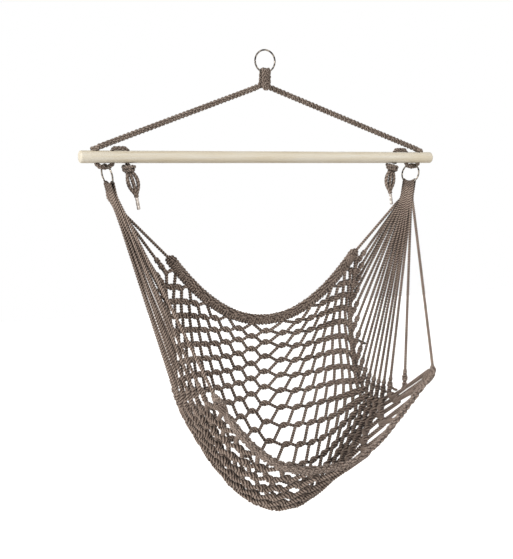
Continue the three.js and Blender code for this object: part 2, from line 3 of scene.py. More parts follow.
import bmesh
import bpy
from mathutils import Matrix, Vector


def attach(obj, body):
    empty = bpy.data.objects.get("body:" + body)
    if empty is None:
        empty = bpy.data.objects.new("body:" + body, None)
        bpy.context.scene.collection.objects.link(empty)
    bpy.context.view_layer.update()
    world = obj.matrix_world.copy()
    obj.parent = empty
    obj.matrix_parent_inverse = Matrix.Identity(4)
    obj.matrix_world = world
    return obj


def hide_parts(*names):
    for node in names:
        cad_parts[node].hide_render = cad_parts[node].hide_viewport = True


# Hammock chair: a net of twisted cotton cord between two fans of cord, under a wooden bar.
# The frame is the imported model's: metres, +X along the bar, -Y to the sitter's front,
# and the origin where a hook bears on the hanging ring.
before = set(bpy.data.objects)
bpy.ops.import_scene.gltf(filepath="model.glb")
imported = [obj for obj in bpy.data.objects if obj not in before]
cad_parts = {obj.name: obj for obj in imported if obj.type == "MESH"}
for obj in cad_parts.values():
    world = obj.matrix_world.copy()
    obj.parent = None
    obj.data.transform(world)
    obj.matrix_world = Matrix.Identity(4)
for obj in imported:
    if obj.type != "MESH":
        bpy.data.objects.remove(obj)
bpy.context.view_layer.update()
mm = 0.001
sides = {"left": -1, "right": 1}

photoView = {"place": (-1.1236, -2.2776, -0.2700), "turn": (83.44, 0.0, -25.79), "lens": 71.65, "sensor": 36}


def makeCamera(view):
    data = bpy.data.cameras.new("photoCamera")
    data.sensor_fit = "HORIZONTAL"
    data.sensor_width = view["sensor"]
    data.lens = view["lens"]
    data.clip_end = 50
    camera = bpy.data.objects.new("photoCamera", data)
    camera.location = view["place"]
    camera.rotation_euler = [math.radians(angle) for angle in view["turn"]]
    bpy.context.collection.objects.link(camera)
    bpy.context.scene.camera = camera


makeCamera(photoView)
print("camera set")


def linear(hexColour):
    channels = [int(hexColour[i:i + 2], 16) / 255 for i in (1, 3, 5)]
    return tuple(c / 12.92 if c <= 0.04045 else ((c + 0.055) / 1.055) ** 2.4 for c in channels) + (1.0,)


def addNode(tree, kind, inputs=None, **settings):
    node = tree.nodes.new(kind)
    for name, value in settings.items():
        setattr(node, name, value)
    for key, value in (inputs or {}).items():
        if isinstance(value, bpy.types.NodeSocket):
            tree.links.new(value, node.inputs[key])
        else:
            node.inputs[key].default_value = value
    return node


def newMaterial(name):
    material = bpy.data.materials.new(name)
    material.use_nodes = True
    tree = material.node_tree
    tree.nodes.clear()
    shader = addNode(tree, "ShaderNodeBsdfPrincipled")
    addNode(tree, "ShaderNodeOutputMaterial", {"Surface": shader.outputs["BSDF"]})
    return material, tree, shader


def colourRamp(tree, value, stops):
    ramp = addNode(tree, "ShaderNodeValToRGB", {"Fac": value})
    elements = ramp.color_ramp.elements
    while len(elements) < len(stops):
        elements.new(0.5)
    for element, (place, hexColour) in zip(elements, stops):
        element.position = place
        element.color = linear(hexColour)
    return ramp.outputs["Color"]


def calculate(tree, operation, *values):
    return addNode(tree, "ShaderNodeMath", dict(enumerate(values)), operation=operation).outputs[0]


def noise(tree, place, scale, detail, roughness=0.5):
    inputs = {"Vector": place, "Scale": scale, "Detail": detail, "Roughness": roughness}
    return addNode(tree, "ShaderNodeTexNoise", inputs).outputs[0]


# A value raised and lowered by a share of a noise about its middle
def vary(tree, value, source, share):
    return calculate(tree, "ADD", value, calculate(tree, "MULTIPLY", calculate(tree, "SUBTRACT", source, 0.5), share))


# Twisted cotton: soft and matt. Painted shade darkens the furrows between the plies and a painted highlight lightens
# their crowns; yarn streaks, patches and pale fluff vary the tone
def cottonMaterial(name, look):
    material, tree, shader = newMaterial(name)
    lay = addNode(tree, "ShaderNodeAttribute", attribute_name="lay").outputs["Vector"]
    parts = addNode(tree, "ShaderNodeSeparateXYZ", {0: lay}).outputs
    around = calculate(tree, "ARCTAN2", parts[1], parts[0])
    plyTurn = calculate(tree, "MULTIPLY", around, look["plies"] / 2)
    laid = calculate(tree, "MULTIPLY", parts[2], math.pi * look["plies"])
    crown = calculate(tree, "ABSOLUTE", calculate(tree, "COSINE", calculate(tree, "SUBTRACT", plyTurn, laid)))
    where = addNode(tree, "ShaderNodeTexCoord").outputs["Object"]
    yarnPlace = addNode(tree, "ShaderNodeVectorMath", {0: lay, 1: (5, 5, look["yarnRun"])}, operation="MULTIPLY")
    yarn = noise(tree, yarnPlace.outputs[0], 1.0, 2.0)
    fluff = noise(tree, where, 1 / (look["fluff"] * mm), 3.0)
    patch = noise(tree, where, 1 / (look["patch"] * mm), 1.0)
    # Painted shade and highlight: the crown value makes the colour dark in the ply furrows and pale on the ply crowns
    shade = vary(tree, vary(tree, vary(tree, crown, yarn, 0.7), patch, 0.5), fluff, 0.3)
    colour = colourRamp(tree, shade, look["colours"])
    # Painted shade: the colour is darkened where cords lie close together, as an occlusion test finds them
    crowd = addNode(tree, "ShaderNodeAmbientOcclusion", {"Distance": 0.09}, samples=6).outputs["AO"]
    shadow = addNode(tree, "ShaderNodeMapRange", {0: crowd, 1: 0.3, 2: 0.92, 3: 0.38, 4: 1.08}).outputs[0]
    colour = addNode(tree, "ShaderNodeVectorMath", {0: colour, "Scale": shadow}, operation="SCALE").outputs[0]
    height = calculate(tree, "ADD", crown, calculate(tree, "MULTIPLY", yarn, 0.25))
    height = calculate(tree, "ADD", height, calculate(tree, "MULTIPLY", fluff, 0.3))
    bump = addNode(tree, "ShaderNodeBump", {"Height": height, "Distance": look["furrow"] * mm, "Strength": 0.9})
    tree.links.new(colour, shader.inputs["Base Color"])
    tree.links.new(bump.outputs[0], shader.inputs["Normal"])
    shader.inputs["Roughness"].default_value = 0.94
    shader.inputs["Specular IOR Level"].default_value = 0.2
    shader.inputs["Sheen Weight"].default_value = 0.18
    shader.inputs["Sheen Roughness"].default_value = 0.6
    return material


# In each cotton ramp the darkest stop paints shade in the ply furrows and the palest a highlight on the crowns
cottonColours = [(0.05, "#30241c"), (0.35, "#635248"), (0.7, "#8f7c6f"), (1.05, "#b6a293")]
cordFinish = cottonMaterial("cottonCordTaupe", {
    "plies": 2, "yarnRun": 0.6, "fluff": 1.0, "patch": 45, "furrow": 0.7, "colours": cottonColours,
})
rimFinish = cottonMaterial("cottonRimTaupe", {
    "plies": 2, "yarnRun": 0.6, "fluff": 1.0, "patch": 45, "furrow": 0.6,
    "colours": [(0.0, "#4d3f35"), (0.35, "#75645a"), (0.7, "#9c8a7d"), (1.05, "#b8a598")],
})
ropeFinish = cottonMaterial("cottonRopeTaupe", {
    "plies": 2, "yarnRun": 0.6, "fluff": 1.0, "patch": 60, "furrow": 0.5,
    "colours": [(0.0, "#5a4b41"), (0.4, "#7d6c60"), (0.8, "#9b897b"), (1.1, "#b4a294")],
})


# Nickel-plated steel wire, drawn and polished: fine scratches and a base colour mottled by a cloud noise; on the rings
# the dark and pale patches are painted reflections, on the tips a slightly uneven skin
def steelMaterial(name, look):
    material, tree, shader = newMaterial(name)
    where = addNode(tree, "ShaderNodeTexCoord").outputs["Object"]
    cloud = noise(tree, where, 1 / (6 * mm), 3.0)
    fine = noise(tree, where, 1 / (0.5 * mm), 2.0)
    tree.links.new(colourRamp(tree, cloud, look["colours"]), shader.inputs["Base Color"])
    rough = addNode(tree, "ShaderNodeMapRange", {0: cloud, 1: 0.3, 2: 0.7, 3: look["rough"][0], 4: look["rough"][1]})
    tree.links.new(rough.outputs[0], shader.inputs["Roughness"])
    bump = addNode(tree, "ShaderNodeBump", {"Height": fine, "Distance": 0.05 * mm, "Strength": 0.3})
    tree.links.new(bump.outputs[0], shader.inputs["Normal"])
    shader.inputs["Metallic"].default_value = 1.0
    return material


# The rings' dark and pale stops are painted reflections of dark and bright surroundings
ringFinish = steelMaterial("nickelPlatedSteel", {
    "colours": [(0.38, "#2f2c29"), (0.5, "#6d665e"), (0.62, "#a09689")], "rough": (0.14, 0.28),
})
tipFinish = steelMaterial("crimpedTinplate", {
    "colours": [(0.3, "#a79d94"), (0.6, "#c9c0b8")], "rough": (0.25, 0.4),
})


# Planed and sanded beech: straight grain, short darker flecks and a dull waxed skin
def beechMaterial(name):
    material, tree, shader = newMaterial(name)
    where = addNode(tree, "ShaderNodeTexCoord").outputs["Object"]
    grainPlace = addNode(tree, "ShaderNodeMapping", {"Vector": where, "Scale": (6, 160, 160)}).outputs[0]
    grain = noise(tree, grainPlace, 1.0, 4.0, 0.6)
    fleckPlace = addNode(tree, "ShaderNodeMapping", {"Vector": where, "Scale": (180, 1500, 1500)}).outputs[0]
    fleck = noise(tree, fleckPlace, 1.0, 1.0)
    fleckShare = addNode(tree, "ShaderNodeMapRange", {0: fleck, 1: 0.6, 2: 0.75, 3: 0.0, 4: 0.16}).outputs[0]
    wideGrain = noise(tree, where, 9.0, 1.0)
    wideTone = calculate(tree, "MULTIPLY", wideGrain, 0.25)
    tone = calculate(tree, "ADD", calculate(tree, "MULTIPLY", grain, 0.75), wideTone)
    tone = calculate(tree, "SUBTRACT", tone, fleckShare)
    colour = colourRamp(tree, tone, [(0.25, "#e6d6b6"), (0.45, "#f6ead2"), (0.62, "#fbf3e2")])
    tree.links.new(colour, shader.inputs["Base Color"])
    bump = addNode(tree, "ShaderNodeBump", {"Height": tone, "Distance": 0.2 * mm, "Strength": 0.35})
    tree.links.new(bump.outputs[0], shader.inputs["Normal"])
    shader.inputs["Roughness"].default_value = 0.55
    shader.inputs["Specular IOR Level"].default_value = 0.3
    return material


beechFinish = beechMaterial("sandedBeech")
print("materials made")


# Cords along routes: smooths and respaces them, sweeps a profile of plies along them and stores the lay
def makeCordTree():
    tree = bpy.data.node_groups.new("cordAlongRoutes", "GeometryNodeTree")
    face = tree.interface
    face.new_socket("Routes", in_out="INPUT", socket_type="NodeSocketGeometry")
    for name, kind in (
        ("Ring spacing", "NodeSocketFloat"), ("Sides", "NodeSocketInt"), ("Plies", "NodeSocketFloat"),
        ("Ply relief", "NodeSocketFloat"), ("Laid turns", "NodeSocketFloat"), ("Drawn turns", "NodeSocketFloat"),
        ("Finish", "NodeSocketMaterial"),
    ):
        face.new_socket(name, in_out="INPUT", socket_type=kind)
    face.new_socket("Cords", in_out="OUTPUT", socket_type="NodeSocketGeometry")
    source = addNode(tree, "NodeGroupInput").outputs

    def store(geometry, name, value, kind="FLOAT"):
        inputs = {0: geometry, "Name": name, "Value": value}
        return addNode(tree, "GeometryNodeStoreNamedAttribute", inputs, data_type=kind).outputs[0]

    smooth = addNode(tree, "GeometryNodeCurveSplineType", {"Curve": source["Routes"]}, spline_type="CATMULL_ROM")
    fine = addNode(tree, "GeometryNodeSetSplineResolution", {0: smooth.outputs[0], "Resolution": 6})
    spacing = {0: fine.outputs[0], "Length": source["Ring spacing"]}
    spaced = addNode(tree, "GeometryNodeResampleCurve", spacing, mode="LENGTH")
    length = addNode(tree, "GeometryNodeSplineParameter").outputs["Length"]
    marked = store(spaced.outputs[0], "along", length)
    radians = calculate(tree, "MULTIPLY", calculate(tree, "MULTIPLY", length, source["Laid turns"]), 2 * math.pi)
    tilted = addNode(tree, "GeometryNodeSetCurveTilt", {0: marked, "Tilt": radians})

    circle = addNode(tree, "GeometryNodeCurvePrimitiveCircle", {"Resolution": source["Sides"], "Radius": 1.0})
    place = addNode(tree, "GeometryNodeInputPosition").outputs[0]
    turned = store(circle.outputs[0], "around", place, "FLOAT_VECTOR")
    parts = addNode(tree, "ShaderNodeSeparateXYZ", {0: place}).outputs
    angle = calculate(tree, "MULTIPLY", calculate(tree, "ARCTAN2", parts[1], parts[0]), source["Plies"])
    crown = calculate(tree, "ABSOLUTE", calculate(tree, "COSINE", calculate(tree, "MULTIPLY", angle, 0.5)))
    dip = calculate(tree, "MULTIPLY", calculate(tree, "SUBTRACT", 1.0, crown), source["Ply relief"])
    reach = calculate(tree, "SUBTRACT", 1.0, dip)
    lobed = addNode(tree, "ShaderNodeVectorMath", {0: place, "Scale": reach}, operation="SCALE")
    profile = addNode(tree, "GeometryNodeSetPosition", {0: turned, "Position": lobed.outputs[0]})

    radius = addNode(tree, "GeometryNodeInputRadius").outputs[0]
    sweep = {0: tilted.outputs[0], 1: profile.outputs[0], "Scale": radius, "Fill Caps": True}
    swept = addNode(tree, "GeometryNodeCurveToMesh", sweep)
    around = addNode(tree, "GeometryNodeInputNamedAttribute", {"Name": "around"}, data_type="FLOAT_VECTOR").outputs[0]
    along = addNode(tree, "GeometryNodeInputNamedAttribute", {"Name": "along"}).outputs[0]
    aroundParts = addNode(tree, "ShaderNodeSeparateXYZ", {0: around}).outputs
    turns = calculate(tree, "MULTIPLY", along, source["Drawn turns"])
    lay = addNode(tree, "ShaderNodeCombineXYZ", {0: aroundParts[0], 1: aroundParts[1], 2: turns})
    kept = store(swept.outputs[0], "lay", lay.outputs[0], "FLOAT_VECTOR")
    for name in ("along", "around"):
        kept = addNode(tree, "GeometryNodeRemoveAttribute", {0: kept, "Name": name}).outputs[0]
    shaded = addNode(tree, "GeometryNodeSetShadeSmooth", {0: kept})
    real = addNode(tree, "GeometryNodeRealizeInstances", {0: shaded.outputs[0]})
    finished = addNode(tree, "GeometryNodeSetMaterial", {0: real.outputs[0], "Material": source["Finish"]})
    addNode(tree, "NodeGroupOutput", {0: finished.outputs[0]})
    return tree


cordTree = makeCordTree()


# A piece of cords: routes are lists of (place, radius), in millimetres from the bar's middle
def cordPiece(name, body, routes, look, replaced=()):
    data = bpy.data.curves.new(name, "CURVE")
    data.dimensions = "3D"
    for route in routes:
        spline = data.splines.new("POLY")
        spline.points.add(len(route) - 1)
        for point, (place, radius) in zip(spline.points, route):
            spot = toFrame(place)
            point.co = (spot.x, spot.y, spot.z, 1)
            point.radius = radius * mm
    source = bpy.data.objects.new(name + "Routes", data)
    bpy.context.collection.objects.link(source)
    modifier = source.modifiers.new("cords", "NODES")
    modifier.node_group = cordTree
    sockets = {item.name: item.identifier for item in cordTree.interface.items_tree if item.in_out == "INPUT"}
    values = {
        "Ring spacing": look["ringSpacing"] * mm, "Sides": look["sides"], "Plies": float(look.get("plies", 3)),
        "Ply relief": look.get("relief", 0.0), "Laid turns": 1000 / look["lay"] if look.get("relief") else 0.0,
        "Drawn turns": 0.0 if look.get("relief") else 1000 / look["lay"], "Finish": look["finish"],
    }
    for label, value in values.items():
        modifier[sockets[label]] = value
    evaluated = source.evaluated_get(bpy.context.evaluated_depsgraph_get())
    mesh = bpy.data.meshes.new_from_object(evaluated)
    bpy.data.objects.remove(source)
    mesh.name = name
    piece = bpy.data.objects.new(name, mesh)
    bpy.context.collection.objects.link(piece)
    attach(piece, body)
    if replaced:
        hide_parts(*replaced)
    print(name, len(mesh.polygons), "faces")
    return piece


def meshPiece(name, body, finish, build, replaced=()):
    shape = bmesh.new()
    build(shape)
    bmesh.ops.recalc_face_normals(shape, faces=shape.faces)
    mesh = bpy.data.meshes.new(name)
    shape.to_mesh(mesh)
    shape.free()
    mesh.shade_smooth()
    mesh.materials.append(finish)
    piece = bpy.data.objects.new(name, mesh)
    bpy.context.collection.objects.link(piece)
    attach(piece, body)
    if replaced:
        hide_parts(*replaced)
    print(name, len(mesh.polygons), "faces")
    return piece


# Sizes in millimetres, as in the solid model
bar = {
    "length": 965, "diameter": 29, "endRound": 5, "drop": 258, "offset": 12, "holeInset": 41, "holePitch": 37,
    "holes": 3,
}
ring = {"outer": 58, "wire": 4.2, "seatOuter": 55, "seatWire": 4.2, "lean": 14, "twist": {"left": 9, "right": 24}}
rope = {
    "diameter": 11, "press": 0.8, "bend": 1.1, "hitchLength": 33, "splayDrop": 30, "gap": 0.8, "lift": 6,
    "beside": 6.4,
}
touch = 0.35
routeStep = 1.5
coarseStep = 2.2
barRadius = bar["diameter"] / 2
ropeRadius = rope["diameter"] / 2
pressedRadius = ropeRadius * rope["press"]
outerHole = bar["length"] / 2 - bar["holeInset"]
middleHole = outerHole - bar["holePitch"]
innerHole = middleHole - bar["holePitch"]
hangingRadius = (ring["outer"] - ring["wire"]) / 2
seatRingRadius = (ring["seatOuter"] - ring["seatWire"]) / 2


# From millimetres about the bar's middle to the model's frame
def toFrame(place):
    return Vector(((place[0] + bar["offset"]) * mm, place[1] * mm, (place[2] - bar["drop"]) * mm))


def turnPoints(centre, across, up, radiusAcross, radiusUp, start, end, steps):
    angles = [start + (end - start) * i / steps for i in range(steps + 1)]
    return [centre + across * radiusAcross * math.cos(a) + up * radiusUp * math.sin(a) for a in angles]


def routeLength(route):
    return sum((route[i + 1][0] - route[i][0]).length for i in range(len(route) - 1))


# Smooths a route through its stops and gives it even steps
def smoothRoute(stops, spacing):
    route = []
    for i in range(len(stops) - 1):
        before = stops[max(i - 1, 0)][0]
        here, radius = stops[i]
        there, nextRadius = stops[i + 1]
        after = stops[min(i + 2, len(stops) - 1)][0]
        count = max(1, round((there - here).length / spacing))
        for j in range(count):
            t = j / count
            place = 0.5 * (
                2 * here + (there - before) * t + (2 * before - 5 * here + 4 * there - after) * t * t
                + (3 * here - before - 3 * there + after) * t ** 3
            )
            route.append((place, radius + (nextRadius - radius) * t))
    route.append(stops[-1])
    return route


# Carries a sideways direction along a route without turning it about the route
def carryFrames(places, firstDepth):
    frames = []
    depth = firstDepth.copy()
    for i in range(len(places)):
        way = (places[min(i + 1, len(places) - 1)] - places[max(i - 1, 0)]).normalized()
        depth = (depth - way * depth.dot(way)).normalized()
        frames.append((way.cross(depth), depth))
    return frames


# The strands of a flat three-strand plait along a route
def plaitRoutes(route, frames, look):
    strands = [[] for _ in range(3 * look.get("doubled", 1))]
    run = 0.0
    for i, (place, radius) in enumerate(route):
        if i:
            run += (place - route[i - 1][0]).length
        across, depth = frames[i]
        size = radius / look["routeRadius"]
        for k in range(3):
            turn = 2 * math.pi * (run / look["pitch"] + k / 3)
            lean = across * look["width"] * size * math.sin(turn)
            middle = place + lean + depth * look["depth"] * size * math.sin(2 * turn)
            if look.get("doubled", 1) == 1:
                strands[k].append((middle, look["strand"] * size))
                continue
            for n, sign in enumerate((-1, 1)):
                shift = across * sign * look["strand"] * size * 0.85
                strands[2 * k + n].append((middle + shift, look["strand"] * size))
    return strands


def ropeHalf(side):
    stops = []
    xAxis = Vector((side, 0, 0))
    zAxis = Vector((0, 0, 1))
    bend = ropeRadius * rope["bend"]
    arch = bend * 1.5
    over = barRadius + touch + pressedRadius - arch
    stops.append((Vector((side * innerHole, 0, -barRadius - touch)), ropeRadius))
    stops += [(p, pressedRadius) for p in turnPoints(
        Vector((side * (innerHole + arch), 0, over)), xAxis, zAxis, arch, arch, math.pi, math.pi / 2, 3)]
    stops += [(p, pressedRadius) for p in turnPoints(
        Vector((side * (middleHole - arch), 0, over)), xAxis, zAxis, arch, arch, math.pi / 2, 0, 3)]
    stops.append((Vector((side * middleHole, 0, 0)), ropeRadius))
    sag = touch + ring["seatWire"] + touch + pressedRadius
    bight = Vector((side * (outerHole + middleHole) / 2, 0, -barRadius))
    stops += [(p, pressedRadius) for p in turnPoints(
        bight, xAxis, zAxis, bar["holePitch"] / 2, sag, math.pi, 2 * math.pi, 8)]
    stops.append((Vector((side * outerHole, 0, 0)), ropeRadius))
    strand = ropeRadius + rope["gap"] / 2
    wireZ = bar["drop"] - 2 * hangingRadius + ring["wire"] / 2
    overWire = ring["wire"] / 2 + touch + pressedRadius
    strandX = side * rope["beside"] - bar["offset"]
    wireRise = hangingRadius - math.sqrt(hangingRadius ** 2 - strand ** 2)
    legEnd = Vector((strandX + side * bend * 2, overWire, wireZ - rope["splayDrop"] - bend))
    corner = Vector((side * outerHole, 0, barRadius + rope["lift"]))
    legWay = (legEnd - corner).normalized()
    stops.append((Vector((side * outerHole, 0, barRadius - bend / 2)), pressedRadius))
    stops.append((corner - zAxis * bend / 3 + legWay * bend / 4, ropeRadius))
    stops.append((corner + legWay * bend, ropeRadius))
    stops.append((corner.lerp(legEnd, 0.5), ropeRadius))
    stops.append((legEnd, ropeRadius))
    stops.append((Vector((strandX + side * bend * 0.5, overWire, wireZ - rope["splayDrop"])), ropeRadius))
    stops.append((Vector((strandX, overWire, wireZ - rope["splayDrop"] + bend)), ropeRadius))
    saddle = Vector((strandX, 0, wireZ + wireRise))
    stops += [(p, pressedRadius) for p in turnPoints(
        saddle, Vector((0, 1, 0)), zAxis, overWire, overWire, 0, math.pi, 8)]
    turnZ = wireZ - rope["hitchLength"]
    stops += [(p, pressedRadius) for p in turnPoints(
        Vector((-bar["offset"], -overWire, turnZ)), xAxis, zAxis, rope["beside"], strand, 0, -math.pi / 2, 3)]
    return stops


hitch = {
    "bandLift": 0.8, "bandFoot": 5, "knobSteps": 12, "knobTurn": 0.6, "knobWidth": 3.6, "knobDepth": 2.6,
    "knobRise": 6, "knobHeight": 11,
}


# The hitch's middle band, over the ring between the two outer ones, and the knob that it is drawn into
def hitchRoutes():
    wireZ = bar["drop"] - 2 * hangingRadius + ring["wire"] / 2
    overWire = ring["wire"] / 2 + touch + pressedRadius
    foot = wireZ - rope["hitchLength"]
    middle = Vector((-bar["offset"], 0, wireZ))
    down = Vector((0, 0, -1))
    bandOut = overWire + hitch["bandLift"]
    bandDrop = rope["hitchLength"] + hitch["bandFoot"]
    band = [(middle + Vector((0, -bandOut, 0)) + down * bandDrop, pressedRadius)]
    band += [(p, pressedRadius) for p in turnPoints(
        middle, Vector((0, 1, 0)), Vector((0, 0, 1)), bandOut, overWire, math.pi, 0, 8)]
    band.append((middle + Vector((0, overWire, 0)) + down * rope["hitchLength"], pressedRadius))
    knob = []
    for i in range(hitch["knobSteps"] + 1):
        share = i / hitch["knobSteps"]
        turn = 2 * math.pi * share + hitch["knobTurn"]
        knob.append((Vector((
            -bar["offset"] + hitch["knobWidth"] * math.cos(turn), hitch["knobDepth"] * math.sin(turn) - 1,
            foot + hitch["knobRise"] - hitch["knobHeight"] * share)), ropeRadius))
    routes = []
    for stops in (band, knob):
        route = smoothRoute(stops, routeStep)
        routes += plaitRoutes(route, carryFrames([place for place, _ in route], Vector((0, -1, 0.1))), plait)
    return routes


plait = {"routeRadius": 5.5, "width": 4.0, "depth": 2.1, "strand": 3.9, "pitch": 32}
ropeLook = {
    "ringSpacing": 1.5, "sides": 8, "plies": 2, "relief": 0.3, "lay": 13, "finish": ropeFinish, "slot": "rope_cotton",
}
leftHalf = ropeHalf(-1)
rightHalf = ropeHalf(1)
wholeRope = smoothRoute(leftHalf + rightHalf[-2::-1], routeStep)
print("suspension rope's route is", round(routeLength(wholeRope)), "mm long")
ropeFrames = carryFrames([place for place, _ in wholeRope], Vector((0, -1, 0)))
ropeStrands = plaitRoutes(wholeRope, ropeFrames, plait) + hitchRoutes()
cordPiece("suspensionRope", "hanger", ropeStrands, ropeLook, ["suspension_rope"])

knot = {"width": 33, "height": 23, "turns": 2.2, "shift": {"left": 3, "right": -6}, "tilt": 9}
tail = {
    "strand": 11.6, "endShare": 0.74, "width": 35, "length": 56, "throat": 5, "steps": 10,
    "sway": {"left": 11, "right": -7}, "drift": {"left": 18, "right": -5},
}
tip = {"length": 29, "diameter": 9, "flat": 0.72}


# The stopper knot: the plaited rope drawn round itself, each turn a little tighter
def knotRoutes(name, side):
    middle = Vector((side * innerHole + knot["shift"][name], 0, -barRadius - touch))
    tilt = Matrix.Rotation(math.radians(side * knot["tilt"]), 3, "Y")
    stops = []
    steps = 40
    for i in range(steps + 1):
        share = i / steps
        angle = 2 * math.pi * knot["turns"] * share + math.pi / 3
        reach = (knot["width"] / 2 - pressedRadius) * (1 - 0.42 * share ** 2)
        spot = Vector((reach * math.cos(angle), reach * math.sin(angle), 0))
        drop = -pressedRadius - (knot["height"] - 2 * pressedRadius) * share
        stops.append((middle + Vector((0, 0, drop)) + tilt @ spot, pressedRadius))
    route = smoothRoute(stops, routeStep)
    return plaitRoutes(route, carryFrames([place for place, _ in route], Vector((0, 0, 1))), plait)


def tailMiddle(name, side, share):
    height = -barRadius - touch - knot["height"] + tail["strand"] / 2
    foot = Vector((side * innerHole + knot["shift"][name], 0, height))
    sway = 4 * share * (1 - share) * (tail["sway"][name] - tail["drift"][name] / 2) + share * tail["drift"][name]
    return foot + Vector((sway, 0, -share * (tail["length"] + tail["strand"] / 2)))


def tailWay(name, side, share):
    step = 1 / 7
    return (tailMiddle(name, side, share) - tailMiddle(name, side, share - step)).normalized()


# Below the knot the plait is loosened, so its three strands bow apart before the tip
def tailRoutes(name, side):
    routes = []
    for place in (-1, 0, 1):
        route = []
        for i in range(tail["steps"] + 1):
            share = i / tail["steps"]
            bow = math.sin(math.pi * min(share * 7 / 6, 1)) ** 0.8
            half = (tail["throat"] + (tail["width"] - tail["strand"] - tail["throat"]) * bow) / 2
            way = tailWay(name, side, share)
            beside = Vector((-way.z, 0, way.x))
            spot = tailMiddle(name, side, share) + beside * place * half
            route.append((spot, tail["strand"] / 2 * (tail["endShare"] + (1 - tail["endShare"]) * bow) * 0.88))
        routes.append(route)
    return routes


tailLook = {
    "ringSpacing": 1.3, "sides": 10, "plies": 3, "relief": 0.24, "lay": 19, "finish": ropeFinish,
    "slot": "rope_cotton",
}
for sideName, side in sides.items():
    title = sideName.capitalize()
    cordPiece("stopperKnot" + title, "hanger", knotRoutes(sideName, side), ropeLook)
    strands = tailRoutes(sideName, side)
    cordPiece("tailStrand" + title, "hanger", [strands[1]], tailLook)
    cordPiece("loosenedTail" + title, "hanger", [strands[0], strands[2]], tailLook)


# A crimped tip: a thin metal sleeve pressed flat round the strands, with two pinches and rolled ends
def buildTip(shape, name, side):
    end = tailMiddle(name, side, 1)
    way = tailWay(name, side, 1)
    turn = Vector((0, -1, 0)).rotation_difference(way).to_matrix()
    rings = []
    steps = 26
    around = 20
    for i in range(steps + 1):
        share = i / steps
        edge = min(share, 1 - share) * tip["length"]
        swell = 1 - 0.16 * math.exp(-((share - 0.3) / 0.05) ** 2) - 0.16 * math.exp(-((share - 0.7) / 0.05) ** 2)
        swell *= 1 - 0.25 * max(0, 1 - edge / 1.2) ** 2
        loop = []
        for j in range(around):
            angle = 2 * math.pi * j / around
            spot = Vector((
                tip["diameter"] / 2 * swell * math.cos(angle), -touch - tip["length"] * share,
                tip["diameter"] / 2 * tip["flat"] * swell * math.sin(angle)))
            loop.append(shape.verts.new(toFrame(end + turn @ spot)))
        rings.append(loop)
    for i in range(steps):
        for j in range(around):
            k = (j + 1) % around
            shape.faces.new((rings[i][j], rings[i][k], rings[i + 1][k], rings[i + 1][j]))
    shape.faces.new(rings[0])
    shape.faces.new(reversed(rings[-1]))


for sideName, side in sides.items():
    tipPiece = meshPiece("ropeTip" + sideName.capitalize(), "hanger", tipFinish,
                         lambda shape: buildTip(shape, sideName, side), ["rope_tip_" + sideName])


# A wire ring with the small bead of its weld
def buildRing(shape, middle, turn, radius, wire, weldAngle):
    around = 72
    section = 14
    loops = []
    for i in range(around):
        angle = 2 * math.pi * i / around
        apart = math.remainder(angle - weldAngle, 2 * math.pi) * radius
        thick = wire / 2 * (1 + 0.1 * math.exp(-(apart / 1.6) ** 2))
        outward = Vector((0, math.cos(angle), math.sin(angle)))
        loop = []
        for j in range(section):
            tilt = 2 * math.pi * j / section
            spot = outward * (radius + thick * math.cos(tilt)) + Vector((thick * math.sin(tilt), 0, 0))
            loop.append(shape.verts.new(toFrame(middle + turn @ spot)))
        loops.append(loop)
    for i in range(around):
        for j in range(section):
            k = (i + 1) % around
            m = (j + 1) % section
            shape.faces.new((loops[i][j], loops[k][j], loops[k][m], loops[i][m]))


hangingMiddle = Vector((-bar["offset"], 0, bar["drop"] + ring["wire"] / 2 - hangingRadius))
meshPiece("hangingRing", "ring", ringFinish, lambda shape: buildRing(
    shape, hangingMiddle, Matrix.Rotation(math.pi / 2, 3, "Z"), hangingRadius, ring["wire"], 4.1), ["hanging_ring"])


def seatRingFrame(name, side):
    turn = Matrix.Rotation(math.radians(ring["twist"][name]), 3, "Z")
    turn = turn @ Matrix.Rotation(side * math.radians(ring["lean"]), 3, "Y")
    top = Vector((side * (outerHole + middleHole) / 2, 0, -barRadius - touch - ring["seatWire"] / 2))
    up = turn @ Vector((0, 0, 1))
    return {
        "turn": turn, "through": turn @ Vector((1, 0, 0)), "along": turn @ Vector((0, 1, 0)), "up": up,
        "middle": top - up * seatRingRadius,
    }


for sideName, side in sides.items():
    ringFrame = seatRingFrame(sideName, side)
    meshPiece("seatRing" + sideName.capitalize(), "seat", ringFinish, lambda shape: buildRing(
        shape, ringFrame["middle"], ringFrame["turn"], seatRingRadius, ring["seatWire"], 1.2),
        ["seat_ring_" + sideName])


# The bar is turned with softly rounded ends
def buildBar(shape):
    around = 48
    profile = [(0, -bar["length"] / 2)]
    for i in range(7):
        turn = math.pi / 2 * i / 6
        along = -bar["length"] / 2 + bar["endRound"] * (1 - math.cos(turn))
        profile.append((barRadius - bar["endRound"] * (1 - math.sin(turn)), along))
    steps = 24
    for i in range(1, steps):
        along = -bar["length"] / 2 + bar["endRound"] + (bar["length"] - 2 * bar["endRound"]) * i / steps
        profile.append((barRadius, along))
    profile += [(radius, -along) for radius, along in reversed(profile[:8])]
    loops = []
    for radius, along in profile:
        if radius == 0:
            loops.append([shape.verts.new(toFrame(Vector((along, 0, 0))))])
            continue
        loops.append([shape.verts.new(toFrame(Vector((
            along, radius * math.cos(2 * math.pi * j / around), radius * math.sin(2 * math.pi * j / around)))))
            for j in range(around)])
    for first, second in zip(loops, loops[1:]):
        for j in range(around):
            k = (j + 1) % around
            if len(first) == 1:
                shape.faces.new((first[0], second[j], second[k]))
            elif len(second) == 1:
                shape.faces.new((first[j], second[0], first[k]))
            else:
                shape.faces.new((first[j], second[j], second[k], first[k]))


# Height from the bar's middle and radius
drill = ((-20, 7.6), (-12.2, 6.2), (12.2, 6.2), (20, 7.6))


